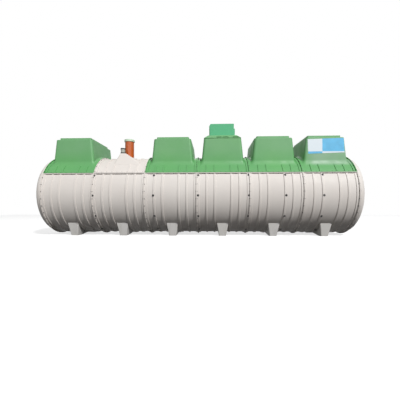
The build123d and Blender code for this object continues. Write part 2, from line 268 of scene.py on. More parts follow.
def add_drum(name: str, radius: float, length: float, middle: Point, axis: str, steps: int,
             capped: bool = True) -> Piece:
    """Add a round drum along X or Z.

    Args:
        name: Name of the new object.
        radius: Radius of the drum.
        length: Length along its axis.
        middle: Centre of the drum.
        axis: "X" or "Z".
        steps: Sides round the drum.
        capped: Whether its two ends are closed.

    Returns:
        The settled drum.
    """
    turn = (0.0, math.pi / 2, 0.0) if axis == "X" else (0.0, 0.0, 0.0)
    return add(bpy.ops.mesh.primitive_cylinder_add, name, vertices=steps, radius=radius, depth=length,
               location=middle, rotation=turn, end_fill_type="NGON" if capped else "NOTHING")


def apply_modifier(obj: Piece, kind: str, **settings: object) -> None:
    """Add a modifier to a piece and apply it.

    Args:
        obj: The workpiece.
        kind: Blender's name for the type of modifier.
        settings: Its settings.
    """
    make_only(obj)
    step = obj.modifiers.new(kind.lower(), kind)
    for name, value in settings.items():
        setattr(step, name, value)
    bpy.ops.object.modifier_apply(modifier=step.name)


def combine(obj: Piece, tool: Piece, how: Join) -> None:
    """Apply a Boolean of one solid on another, and delete the tool.

    Args:
        obj: The workpiece.
        tool: The solid that is joined or cut away.
        how: Union or cut.
    """
    apply_modifier(obj, "BOOLEAN", operation=how.value, solver="EXACT", object=tool)
    bpy.data.objects.remove(tool)


def join_pieces(name: str, parts: list[Piece]) -> Piece:
    """Join several objects into one mesh.

    Args:
        name: Name of the joined object.
        parts: The objects to join.

    Returns:
        The joined object.
    """
    make_only(parts[0])
    for part in parts[1:]:
        part.select_set(True)
    bpy.ops.object.join()
    parts[0].name = name
    return parts[0]


def copy_along(obj: Piece, name: str, step: float) -> Piece:
    """Copy a piece with its own mesh, moved along X.

    Args:
        obj: The piece to copy.
        name: Name of the copy.
        step: Distance along X.

    Returns:
        The settled copy.
    """
    make_only(obj)
    bpy.ops.object.duplicate(linked=False)
    twin = bpy.context.object
    twin.name = name
    twin.location.x = step
    settle(twin)
    return twin


def round_edges(obj: Piece, width: float, steps: int, sharper_than: float) -> None:
    """Round the sharp edges of a finished form.

    Args:
        obj: The workpiece.
        width: Width of the rounding.
        steps: Segments across it.
        sharper_than: Smallest angle in degrees that is rounded.
    """
    apply_modifier(obj, "BEVEL", width=width, segments=steps, limit_method="ANGLE",
                   angle_limit=math.radians(sharper_than), use_clamp_overlap=True)


def thicken(obj: Piece, wall: float) -> None:
    """Give an open skin its wall, measured inwards from the skin.

    Args:
        obj: The skin, with its faces pointing outwards.
        wall: Wall thickness.
    """
    apply_modifier(obj, "SOLIDIFY", thickness=wall, offset=-1.0, use_quality_normals=True)


def smooth(obj: Piece, angle: float = 32.0) -> None:
    """Shade a piece smooth except over sharp edges, with its large faces kept flat.

    Args:
        obj: The piece.
        angle: Sharpest angle in degrees that is still smoothed.
    """
    make_only(obj)
    bpy.ops.object.shade_smooth_by_angle(angle=math.radians(angle))
    apply_modifier(obj, "WEIGHTED_NORMAL", mode="FACE_AREA", keep_sharp=True)


def point_outwards(obj: Piece) -> None:
    """Merge the doubles of a closed mesh and make its faces point outwards.

    Args:
        obj: The mesh to mend.
    """
    with editing(obj):
        pick_all()
        bpy.ops.mesh.remove_doubles(threshold=CLOSE / 4)
        bpy.ops.mesh.normals_make_consistent(inside=False)


@dataclass
class TankFrame:
    """Sizes of the tank, measured from its CAD nodes, and those that its sub-assemblies share."""

    lip_height: float = 0.032
    upstand_height: float = 0.040
    wall: float = 0.009
    rib_height: float = 0.012
    joint_lip: float = 0.014
    hoop_steps: int = 128
    pitch: float = field(init=False)
    lip_radius: float = field(init=False)
    shell_radius: float = field(init=False)
    axis_z: float = field(init=False)
    joint_z: float = field(init=False)
    half_length: float = field(init=False)
    riser_top_z: float = field(init=False)

    def __post_init__(self) -> None:
        """Measure the boxes of the shells."""
        low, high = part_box("lower_shell_1")
        riser_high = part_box("upper_shell_1")[1]
        self.pitch = high[0] - low[0]
        self.half_length = -low[0]
        self.lip_radius = (high[1] - low[1]) / 2
        self.shell_radius = self.lip_radius - self.lip_height
        self.axis_z = low[2] + self.lip_radius
        self.joint_z = high[2]
        self.riser_top_z = riser_high[2] - self.upstand_height

    def middle(self, number: int) -> float:
        """Return X of the middle of a section, counted from 1."""
        return -self.half_length + self.pitch * (number - 0.5)

    def axis_point(self, x: float) -> Point:
        """Return the point of the tank's axis at X."""
        return (x, 0.0, self.axis_z)

    def joint_reach(self, radius: float) -> float:
        """Return Y of the joint plane's edge on a cylinder about the axis."""
        return math.sqrt(radius**2 - (self.joint_z - self.axis_z) ** 2)

    def on_ribs(self, x: float, angle: float, side: int) -> Point:
        """Return a point at the height of the ribs.

        Args:
            x: Place along the tank.
            angle: Degrees above the horizontal through the axis.
            side: -1 for the front and 1 for the back.

        Returns:
            The point.
        """
        reach = self.shell_radius + self.rib_height
        turn = math.radians(angle)
        return (x, side * reach * math.cos(turn), self.axis_z + reach * math.sin(turn))


def linear(value: float) -> float:
    """Return the linear-light value of one sRGB channel."""
    return value / 12.92 if value <= 0.04045 else ((value + 0.055) / 1.055) ** 2.4


def shade(colour: Colour, factor: float = 1.0) -> tuple[float, float, float, float]:
    """Return a colour given in sRGB as the linear RGBA that a node takes.

    Args:
        colour: Red, green and blue from 0 to 1, as seen on a screen.
        factor: Brightness factor in linear light.

    Returns:
        The RGBA value.
    """
    red, green, blue = (min(1.0, linear(channel) * factor) for channel in colour)
    return (red, green, blue, 1.0)


class NodeSheet:
    """A material's node tree, with short calls to add and link nodes."""

    def __init__(self, name: str) -> None:
        """Start an empty material.

        Args:
            name: Name of the material.
        """
        self.material = bpy.data.materials.new(name)
        self.material.use_nodes = True
        self.tree = self.material.node_tree
        self.tree.nodes.clear()
        self.surface = self.node("BsdfPrincipled")
        self.link(self.surface.outputs["BSDF"], self.node("OutputMaterial").inputs["Surface"])
        self.place = self.node("TexCoord").outputs["Object"]

    def node(self, kind: str, **values: object) -> bpy.types.Node:
        """Add a shader node.

        Args:
            kind: Its type.
            values: Values of its inputs, named with a low line for each space.

        Returns:
            The node.
        """
        node = self.tree.nodes.new("ShaderNode" + kind)
        for name, value in values.items():
            node.inputs[name.replace("_", " ")].default_value = value
        return node

    def link(self, source: Socket, target: Socket) -> None:
        """Link two sockets."""
        self.tree.links.new(source, target)

    def noise(self, scale: float, detail: float, stretch: Point = (1.0, 1.0, 1.0)) -> Socket:
        """Add a noise pattern on object coordinates.

        Args:
            scale: Waves per metre.
            detail: Octaves of finer noise.
            stretch: Factors on X, Y and Z before the noise.

        Returns:
            The noise value.
        """
        mapping = self.node("Mapping", Scale=stretch)
        self.link(self.place, mapping.inputs["Vector"])
        pattern = self.node("TexNoise", Scale=scale, Detail=detail, Roughness=NOISE_ROUGHNESS)
        self.link(mapping.outputs["Vector"], pattern.inputs["Vector"])
        return pattern.outputs["Fac"]

    def ramp(self, source: Socket, low: float, high: float, start: float = 0.0, end: float = 1.0) -> Socket:
        """Map a value from one range to another, clamped.

        Args:
            source: The value.
            low: Source value that gives start.
            high: Source value that gives end.
            start: Result at low.
            end: Result at high.

        Returns:
            The mapped value.
        """
        node = self.node("MapRange", From_Min=low, From_Max=high, To_Min=start, To_Max=end)
        self.link(source, node.inputs["Value"])
        return node.outputs["Result"]

    def mix(self, factor: Socket, first: object, second: object) -> Socket:
        """Mix two colours.

        Args:
            factor: 0 for the first colour, 1 for the second.
            first: A colour or a colour socket.
            second: A colour or a colour socket.

        Returns:
            The mixed colour.
        """
        node = self.node("Mix")
        node.data_type = "RGBA"
        self.link(factor, node.inputs["Factor"])
        for value, socket in ((first, node.inputs[6]), (second, node.inputs[7])):
            if isinstance(value, tuple):
                socket.default_value = value
            else:
                self.link(value, socket)
        return node.outputs[2]

    def multiply(self, first: Socket, *others: float | Socket) -> Socket:
        """Multiply values.

        Args:
            first: A value.
            others: Numbers or values.

        Returns:
            The product.
        """
        for other in others:
            node = self.node("Math")
            node.operation = "MULTIPLY"
            self.link(first, node.inputs[0])
            if isinstance(other, float):
                node.inputs[1].default_value = other
            else:
                self.link(other, node.inputs[1])
            first = node.outputs["Value"]
        return first

    def along(self, axis: str) -> Socket:
        """Add the place along one axis.

        Args:
            axis: "X", "Y" or "Z".

        Returns:
            The place in metres.
        """
        split = self.node("SeparateXYZ")
        self.link(self.place, split.inputs["Vector"])
        return split.outputs[axis]

    def bump(self, source: Socket, strength: float, depth: float) -> None:
        """Bump the surface.

        Args:
            source: Height pattern from 0 to 1.
            strength: Strength of the bump.
            depth: Depth of the pattern in metres.
        """
        node = self.node("Bump", Strength=strength, Distance=depth)
        self.link(source, node.inputs["Height"])
        normal = self.surface.inputs["Normal"]
        if normal.is_linked:
            self.link(normal.links[0].from_socket, node.inputs["Normal"])
        self.link(node.outputs["Normal"], normal)

    def set(self, **values: object) -> None:
        """Set sockets of the surface shader, such as coat_weight=0.3."""
        names = {socket.name.lower().replace(" ", "_"): socket for socket in self.surface.inputs}
        for name, value in values.items():
            names[name].default_value = value

    def finished(self, tone: Socket, gloss: Socket, **values: float) -> Finish:
        """Give the surface its colour, its roughness and its other values.

        Args:
            tone: The colour.
            gloss: The roughness.
            values: Values of other sockets.

        Returns:
            The finished material.
        """
        self.link(tone, self.surface.inputs["Base Color"])
        self.link(gloss, self.surface.inputs["Roughness"])
        self.set(**values)
        return self.material


@dataclass(frozen=True)
class MouldedShell:
    """Gelcoat on glass-reinforced plastic: mottled, faintly rippled, paler high up from chalking and a painted
    sheen, darker in streaks towards the bottom, and where asked with a painted sheen on the front of the last
    riser.
    """

    name: str
    colour: Colour
    warm: Colour
    # Darker colour mixed in streaks towards the bottom.
    soil: Colour
    roughness: float = 0.5
    coat: float = 0.02
    specular: float = 0.1
    soil_top: float = 0.45
    soil_amount: float = 0.35
    # Paler colour high up: partly chalked gelcoat, partly painted sheen.
    bloom: Colour = (0.58, 0.66, 0.60)
    bloom_amount: float = 0.0
    bloom_heights: tuple[float, float] = (1.60, 1.80)
    # Strength of a painted sheen on the front of the last riser.
    end_bloom: float = 0.0

    def build(self) -> Finish:
        """Return the finished material."""
        sheet = NodeSheet(self.name)
        cloud = sheet.ramp(sheet.noise(1.1, 3.0), 0.35, 0.68)
        tone = sheet.mix(cloud, shade(self.colour), shade(self.warm))
        speck = sheet.ramp(sheet.noise(46.0, 3.0), 0.62, 0.74, 0.0, 0.16)
        tone = sheet.mix(speck, tone, shade(self.colour, 0.72))
        streak = sheet.ramp(sheet.noise(9.0, 5.0, (1.0, 1.0, 0.12)), 0.5, 0.72)
        # Darker towards the bottom, in vertical streaks.
        low_down = sheet.ramp(sheet.along("Z"), self.soil_top, 0.0)
        tone = sheet.mix(sheet.multiply(streak, low_down, self.soil_amount), tone, shade(self.soil))
        # Paler towards the top: chalked gelcoat with a painted sheen.
        chalk_and_sheen_pattern = sheet.ramp(sheet.noise(1.7, 2.0), 0.2, 0.7, 0.4, 1.0)
        high_up = sheet.ramp(sheet.along("Z"), *self.bloom_heights)
        tone = sheet.mix(sheet.multiply(chalk_and_sheen_pattern, high_up, self.bloom_amount), tone, shade(self.bloom))
        # Painted sheen on the front of the last riser.
        if self.end_bloom > 0.0:
            tone = sheet.mix(self.end_haze(sheet, chalk_and_sheen_pattern), tone, shade(self.bloom))
        gloss = sheet.ramp(sheet.noise(5.0, 5.0), 0.35, 0.7, self.roughness - 0.07, self.roughness + 0.1)
        sheet.bump(sheet.noise(3.2, 2.0), 0.25, 0.004)
        sheet.bump(sheet.noise(85.0, 4.0), 0.12, 0.0006)
        return sheet.finished(tone, gloss, coat_weight=self.coat, coat_roughness=0.32,
                              specular_ior_level=self.specular)

    def end_haze(self, sheet: NodeSheet, chalk_and_sheen_pattern: Socket) -> Socket:
        """Add the painted sheen on the front of the last riser, below its lid.

        Args:
            sheet: The material's node tree.
            chalk_and_sheen_pattern: Pattern of the painted sheen.

        Returns:
            The amount of painted sheen.
        """
        limits = (("X", 2.20, 2.40), ("Z", 1.98, 1.90), ("Z", 1.44, 1.50), ("Y", -0.38, -0.46))
        edges = [sheet.ramp(sheet.along(axis), start, end) for axis, start, end in limits]
        return sheet.multiply(chalk_and_sheen_pattern, self.end_bloom, *edges)


@dataclass(frozen=True)
class PlainPlastic:
    """Extruded or moulded plastic with faint scuffs."""

    name: str
    colour: Colour
    scuff: Colour
    roughness: float = 0.38
    coat: float = 0.1

    def build(self) -> Finish:
        """Return the finished material."""
        sheet = NodeSheet(self.name)
        scuffs = sheet.ramp(sheet.noise(22.0, 6.0, (1.0, 1.0, 0.35)), 0.55, 0.78, 0.0, 0.6)
        tone = sheet.mix(scuffs, shade(self.colour), shade(self.scuff))
        gloss = sheet.ramp(sheet.noise(30.0, 4.0), 0.4, 0.7, self.roughness, self.roughness + 0.15)
        sheet.bump(sheet.noise(140.0, 3.0), 0.1, 0.0004)
        return sheet.finished(tone, gloss, coat_weight=self.coat, coat_roughness=0.3)


@dataclass(frozen=True)
class DarkSteel:
    """Blackened steel of bolts and washers."""

    name: str
    colour: Colour
    metallic: float = 0.6

    def build(self) -> Finish:
        """Return the finished material."""
        sheet = NodeSheet(self.name)
        worn = sheet.ramp(sheet.noise(120.0, 4.0), 0.5, 0.75)
        tone = sheet.mix(worn, shade(self.colour), shade(self.colour, 2.2))
        gloss = sheet.ramp(sheet.noise(90.0, 3.0), 0.3, 0.7, 0.35, 0.6)
        return sheet.finished(tone, gloss, metallic=self.metallic)


@dataclass(frozen=True)
class PrintedPlate:
    """Plain plate, white on the left and blue on the right, with a low strip in the other colour."""

    name: str
    white: Colour
    blue: Colour
    split_x: float
    strip_z: float
    edge: float = 0.001

    def build(self) -> Finish:
        """Return the finished material."""
        sheet = NodeSheet(self.name)
        right = sheet.ramp(sheet.along("X"), self.split_x - self.edge, self.split_x + self.edge)
        above = sheet.ramp(sheet.along("Z"), self.strip_z - self.edge, self.strip_z + self.edge)
        cloud = sheet.ramp(sheet.noise(6.0, 3.0), 0.35, 0.7)
        blue = sheet.mix(cloud, shade(self.blue), shade(self.blue, 1.2))
        left_tone = sheet.mix(above, blue, shade(self.white))
        right_tone = sheet.mix(above, shade(self.white), blue)
        gloss = sheet.ramp(sheet.noise(40.0, 3.0), 0.3, 0.7, 0.28, 0.4)
        return sheet.finished(sheet.mix(right, left_tone, right_tone), gloss, coat_weight=0.3,
                              coat_roughness=0.2)


def seen_directly(tree: bpy.types.NodeTree) -> Socket:
    """Add a value that is 1 for camera, glossy and transmission rays.

    Args:
        tree: Node tree of the floor's material or of the world.

    Returns:
        The value.
    """
    path = tree.nodes.new("ShaderNodeLightPath")
    value = path.outputs["Is Camera Ray"]
    for kind in ("Is Glossy Ray", "Is Transmission Ray"):
        either = tree.nodes.new("ShaderNodeMath")
        either.operation = "MAXIMUM"
        tree.links.new(value, either.inputs[0])
        tree.links.new(path.outputs[kind], either.inputs[1])
        value = either.outputs["Value"]
    return value


def finish_piece(obj: Piece, material: Finish, slot: str, *nodes: str) -> None:
    """Dress a piece, let it ride on the tank, and hide the CAD nodes that it stands for.

    Args:
        obj: The finished piece.
        material: Its material.
        slot: The record's material slot; not used.
        nodes: CAD nodes that it replaces.
    """
    obj.data.materials.clear()
    obj.data.materials.append(material)
    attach(obj, ROOT_BODY)
    if nodes:
        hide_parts(*nodes)
    LOG.info("%s: %d faces", obj.name, len(obj.data.polygons))


@dataclass
class RingSections:
    """The lower and upper shells of the ring sections, with ribs, risers and bolting lips."""

    tank: TankFrame
    barrel_excess: float = 1.1
    joint_lip_root: float = 0.046
    joint_lip_rounding: float = 0.002
    rib_spacing: float = 0.163
    ribs_each_side: int = 2
    rib_width: float = 0.038
    rib_rounding: float = 0.004
    shoulder_width: float = 0.055
    riser_top_width: float = 0.780
    riser_top_depth: float = 1.050
    side_draft: float = 5.7
    front_draft: float = 1.35
    riser_corner: float = 0.055
    riser_edge: float = 0.013
    foot_blend: float = 0.060
    foot_steps: int = 5
    foot_sink: float = 0.0015
    upstand_width: float = 0.648
    upstand_depth: float = 0.888
    upstand_corner: float = 0.036
    upstand_root: float = 0.030
    boss_shift: float = -0.066
    boss_top_width: float = 0.126
    boss_top_above_crest: float = 0.085
    boss_left_angle: float = 76.0
    boss_right_angle: float = 34.0
    boss_foot_set_in: float = -0.010
    boss_front_brow: float = 0.330
    boss_back_brow: float = 0.090
    boss_back_foot: float = 0.190
    boss_ridge: float = 0.038
    boss_rim: float = 0.014
    boss_blend: float = 0.016
    boss_foot_shift: Point = (0.05, -0.20, 0.0)
    boss_foot_reach: tuple[float, float] = (0.33, 0.40)
    collar_radius: float = 0.114
    collar_above_crest: float = 0.026
    pipe_hole_radius: float = 0.1005
    pipe_setback: float = -0.060
    pipe_steps: int = 64
    middle: float = field(init=False)

    def __post_init__(self) -> None:
        """Find the middle of the first section, where each kind of shell is modelled."""
        self.middle = self.tank.middle(1)

    def hoop(self, name: str, radius: float, length: float, shift: float = 0.0, finer: int = 1) -> Piece:
        """Add a drum on the tank's axis.

        Args:
            name: Name of the drum.
            radius: Its radius.
            length: Its length.
            shift: How far its middle lies from the middle of the section.
            finer: Factor on the number of its sides.

        Returns:
            The drum.
        """
        place = self.tank.axis_point(self.middle + shift)
        return add_drum(name, radius, length, place, "X", self.tank.hoop_steps * finer)

    def rib_discs(self) -> Piece:
        """Return discs with rounded rims, one for each rib and each end shoulder."""
        tank = self.tank
        reach = self.shoulder_width * 2
        spans = [(side * count * self.rib_spacing, self.rib_width)
                 for count in range(1, self.ribs_each_side + 1) for side in SIDES]
        spans += [(side * (tank.pitch / 2 - self.shoulder_width + reach / 2), reach) for side in SIDES]
        discs = []
        for shift, width in spans:
            disc = self.hoop("rib", tank.shell_radius + tank.rib_height, width, shift)
            with editing(disc):
                pick(Picked.EDGES, lambda edge: abs(edge.verts[0].co.x - edge.verts[1].co.x) < CLOSE)
                bevel(self.rib_rounding, 3)
            discs.append(disc)
        return join_pieces("rib_discs", discs)

    def riser_block(self) -> Piece:
        """Return the tapered block of a riser, from the joint to its top."""
        tank = self.tank
        height = tank.riser_top_z - tank.joint_z
        half_base = self.riser_top_width / 2 + height * math.tan(math.radians(self.side_draft))
        deep_base = self.riser_top_depth / 2 + height * math.tan(math.radians(self.front_draft))
        block = add_block("riser", (self.middle - half_base, -deep_base, tank.joint_z),
                          (self.middle + half_base, deep_base, tank.riser_top_z))
        with editing(block):
            pick(Picked.VERTS, lambda vert: vert.co.z > tank.riser_top_z - CLOSE)
            shrink = (self.riser_top_width / 2 / half_base, self.riser_top_depth / 2 / deep_base, 1.0)
            resize(shrink, (self.middle, 0.0, tank.riser_top_z))
            pick(Picked.EDGES, rises)
            bevel(self.riser_corner, 7)
            pick(Picked.EDGES, at_top(tank.riser_top_z))
            bevel(self.riser_edge, 4)
        return block

    def flare_foot(self, tower: Piece, centre: Point, reach: tuple[float, float], blend: float) -> None:
        """Spread the foot of a tower onto the barrel with a hollow rounding.

        Args:
            tower: A block that stands in the barrel.
            centre: Point that the foot spreads away from.
            reach: Half of the foot's length along X and Y.
            blend: Radius of the rounding.
        """
        tank = self.tank
        brow = tank.shell_radius + blend
        combine(tower, self.hoop("brow", brow, 2.0, centre[0] - self.middle, 2), Join.CUT)

        def on_brow(face: bmesh.types.BMFace) -> bool:
            """Return whether a face lies on the brow."""
            return all(abs(math.hypot(v.co.y, v.co.z - tank.axis_z) - brow) < 0.0015 for v in face.verts)

        with editing(tower):
            pick(Picked.FACES, on_brow)
            bpy.ops.mesh.delete(type="FACE")
        spread = 0.0
        for step in range(1, self.foot_steps + 1):
            turn = math.pi / 2 * step / self.foot_steps
            wider = blend * (1 - math.cos(turn))
            growth = [(side + wider) / (side + spread) for side in reach]
            spread = wider
            sink = self.foot_sink if step == self.foot_steps else 0.0
            self.add_hem(tower, centre, growth, tank.shell_radius + blend * (1 - math.sin(turn)) - sink)
        with editing(tower):
            pick(Picked.EDGES, lambda edge: edge.is_boundary)
            bpy.ops.mesh.extrude_edges_move()
            resize((1.0, 1.0, 0.0), (0.0, 0.0, tank.joint_z))
            bpy.ops.mesh.edge_face_add()
            turn_faces_out()

    def add_hem(self, tower: Piece, centre: Point, growth: list[float], radius: float) -> None:
        """Add one ring to the open foot of a tower, and lay it on a cylinder about the tank's axis.

        Args:
            tower: The tower, open at its foot.
            centre: Point that the ring spreads away from.
            growth: Factors on X and Y.
            radius: Radius of the cylinder.
        """
        with editing(tower):
            pick(Picked.EDGES, lambda edge: edge.is_boundary)
            bpy.ops.mesh.extrude_edges_move()
            resize((growth[0], growth[1], 1.0), centre)
            bpy.ops.object.vertex_group_assign_new()
        former = self.hoop("former", radius, 2.0, centre[0] - self.middle, 2)
        apply_modifier(tower, "SHRINKWRAP", target=former, wrap_method="PROJECT", use_project_z=True,
                       use_negative_direction=True, use_positive_direction=True,
                       vertex_group=tower.vertex_groups[-1].name)
        tower.vertex_groups.clear()
        bpy.data.objects.remove(former)

    def open_skin(self, shell: Piece, upper: bool) -> None:
        """Trim a solid to one section, open it at its ends and its joint, and add the seam lips.

        Args:
            shell: The solid with its ribs.
            upper: Whether the part above the joint plane is kept.
        """
        tank = self.tank
        reach = tank.pitch / 2 - tank.wall
        joint = ((0.0, 0.0, tank.joint_z), (0.0, 0.0, -1.0 if upper else 1.0))

        def at_end(edge: bmesh.types.BMEdge) -> bool:
            """Return whether an edge lies at an open end."""
            return edge.is_boundary and all(abs(abs(v.co.x - self.middle) - reach) < CLOSE for v in edge.verts)

        with editing(shell):
            for side in SIDES:
                cut_off((self.middle + side * reach, 0.0, 0.0), (side, 0.0, 0.0))
            cut_off(*joint)
            pick(Picked.EDGES, at_end)
            bpy.ops.mesh.extrude_edges_move()
            grow = tank.lip_radius / (tank.shell_radius + tank.rib_height)
            resize((1.0, grow, grow), tank.axis_point(self.middle))
            cut_off(*joint)
            pick_all()
            bpy.ops.mesh.remove_doubles(threshold=CLOSE / 3)
            bpy.ops.mesh.normals_make_consistent(inside=False)

    def add_joint_lips(self, shell: Piece, upper: bool) -> None:
        """Join two closed lips along the joint plane to a walled shell, with their roots in its wall.

        Args:
            shell: The walled shell.
            upper: Whether the lips lie above the joint plane.
        """
        tank = self.tank
        lip_y = tank.joint_reach(tank.lip_radius)
        heights = sorted((tank.joint_z, tank.joint_z + (tank.joint_lip if upper else -tank.joint_lip)))
        lips = []
        for side in SIDES:
            edges = sorted((side * (lip_y - self.joint_lip_root), side * lip_y))
            lip = add_block("lip", (self.middle - tank.pitch / 2, edges[0], heights[0]),
                            (self.middle + tank.pitch / 2, edges[1], heights[1]))
            with editing(lip):
                pick(Picked.EDGES, lambda edge: all(abs(v.co.y - side * lip_y) < CLOSE for v in edge.verts))
                bevel(self.joint_lip_rounding, 2)
            lips.append(lip)
        join_pieces(shell.name, [shell, *lips])

    def turn_outwards(self, shell: Piece) -> None:
        """Flip an open skin whose faces point at the axis.

        Args:
            shell: The open skin.
        """
        total = 0.0
        for face in shell.data.polygons:
            arm = face.center - Vector(self.tank.axis_point(face.center.x))
            total += face.normal.dot(arm) * face.area
        if total < 0:
            flip(shell)

    def moulding(self, name: str, upper: bool, masses: list[Piece], opening: Piece | None = None) -> Piece:
        """Mould a shell over the barrel and what stands on it.

        Args:
            name: Name of the shell.
            upper: Whether it lies above the joint plane.
            masses: Solids that are joined to the barrel, in this order.
            opening: A solid that is cut out of the walled shell.

        Returns:
            The finished shell.
        """
        shell = self.hoop(name, self.tank.shell_radius, self.tank.pitch * self.barrel_excess)
        for mass in masses:
            combine(shell, mass, Join.UNION)
        self.open_skin(shell, upper)
        self.turn_outwards(shell)
        thicken(shell, self.tank.wall)
        round_edges(shell, LIP_ROUNDING, 2, LIP_ANGLE)
        if opening:
            combine(shell, opening, Join.CUT)
        self.add_joint_lips(shell, upper)
        smooth(shell, SHELL_SMOOTHING)
        return shell

    def hatch_block(self, name: str, inset: float, low_z: float, high_z: float) -> Piece:
        """Return a rounded upright block round a riser's hatch.

        Args:
            name: Name of the block.
            inset: How far its sides lie inside the upstand.
            low_z: Its lowest height.
            high_z: Its highest height.

        Returns:
            The block.
        """
        wide = self.upstand_width / 2 - inset
        deep = self.upstand_depth / 2 - inset
        block = add_block(name, (self.middle - wide, -deep, low_z), (self.middle + wide, deep, high_z))
        round_uprights(block, self.upstand_corner - inset, 4)
        return block

    def riser_shell(self) -> Piece:
        """Return the upper shell of the first section with its riser."""
        tank = self.tank
        tower = self.riser_block()
        foot_drop = tank.riser_top_z - tank.axis_z - tank.shell_radius
        reach = (self.riser_top_width / 2 + foot_drop * math.tan(math.radians(self.side_draft)),
                 self.riser_top_depth / 2 + foot_drop * math.tan(math.radians(self.front_draft)))
        self.flare_foot(tower, (self.middle, 0.0, 0.0), reach, self.foot_blend)
        top = tank.riser_top_z + tank.upstand_height
        upstand = self.hatch_block("upstand", 0.0, tank.riser_top_z - self.upstand_root, top)
        combine(tower, upstand, Join.UNION)
        hatch = self.hatch_block("hatch", tank.wall, tank.riser_top_z - 0.1, top + 0.1)
        return self.moulding("riser_shell_1", True, [tower, self.rib_discs()], hatch)

    def boss_block(self) -> Piece:
        """Return the moulded boss in front of the inlet pipe, with its sloping sides."""
        tank = self.tank
        centre = (self.middle + self.boss_shift, 0.0)
        top_z = tank.axis_z + tank.shell_radius + self.boss_top_above_crest
        height = top_z - tank.joint_z
        left = centre[0] - self.boss_top_width / 2
        block = add_block("boss", (left, -self.boss_front_brow, tank.joint_z),
                          (left + self.boss_top_width, self.boss_back_brow, top_z))
        front = tank.joint_reach(tank.shell_radius) - self.boss_foot_set_in
        moves = ((0, -1, height / math.tan(math.radians(self.boss_left_angle))),
                 (0, 1, height / math.tan(math.radians(self.boss_right_angle))),
                 (1, -1, front - self.boss_front_brow),
                 (1, 1, self.boss_back_foot - self.boss_back_brow))
        with editing(block):
            for axis, side, run in moves:
                pick(Picked.VERTS,
                     lambda v: v.co.z < top_z - CLOSE and side * (v.co[axis] - centre[axis]) > 0)
                move = [0.0, 0.0, 0.0]
                move[axis] = side * run
                bpy.ops.transform.translate(value=move)
            pick(Picked.EDGES, rises)
            bevel(self.boss_ridge, 7)
            pick(Picked.EDGES, at_top(top_z))
            bevel(self.boss_rim, 4)
        shift = self.boss_foot_shift
        self.flare_foot(block, (self.middle + shift[0], shift[1], shift[2]), self.boss_foot_reach,
                        self.boss_blend)
        return block

    def inlet_shell(self) -> Piece:
        """Return the upper shell of the inlet section, modelled in the first section's place."""
        tank = self.tank
        crest = tank.axis_z + tank.shell_radius
        collar_top = crest + self.collar_above_crest
        collar_middle = (self.middle, self.pipe_setback, (collar_top + tank.joint_z) / 2)
        collar = add_drum("collar", self.collar_radius, collar_top - tank.joint_z, collar_middle, "Z",
                          self.pipe_steps)
        hole = add_drum("hole", self.pipe_hole_radius, 1.2, (self.middle, self.pipe_setback, crest), "Z",
                        self.pipe_steps)
        return self.moulding("inlet_shell_1", True, [self.boss_block(), self.rib_discs(), collar], hole)

    def build(self, grey: Finish, green: Finish) -> None:
        """Model each kind of shell once and copy it along the tank.

        Args:
            grey: Material of the troughs and the inlet shell.
            green: Material of the riser shells.
        """
        trough = self.moulding("trough_1", False, [self.rib_discs()])
        riser = self.riser_shell()
        inlet = self.inlet_shell()
        for number in range(2, SECTION_COUNT + 1):
            step = self.tank.pitch * (number - 1)
            twin = copy_along(trough, f"trough_{number}", step)
            finish_piece(twin, grey, "grey_grp", f"lower_shell_{number}")
            if number != INLET_SECTION:
                twin = copy_along(riser, f"riser_shell_{number}", step)
                finish_piece(twin, green, "green_grp", f"upper_shell_{number}")
        finish_piece(trough, grey, "grey_grp", "lower_shell_1")
        finish_piece(riser, green, "green_grp", "upper_shell_1")
        moved = copy_along(inlet, "inlet_shell", self.tank.pitch * (INLET_SECTION - 1))
        bpy.data.objects.remove(inlet)
        finish_piece(moved, grey, "grey_grp", f"upper_shell_{INLET_SECTION}")


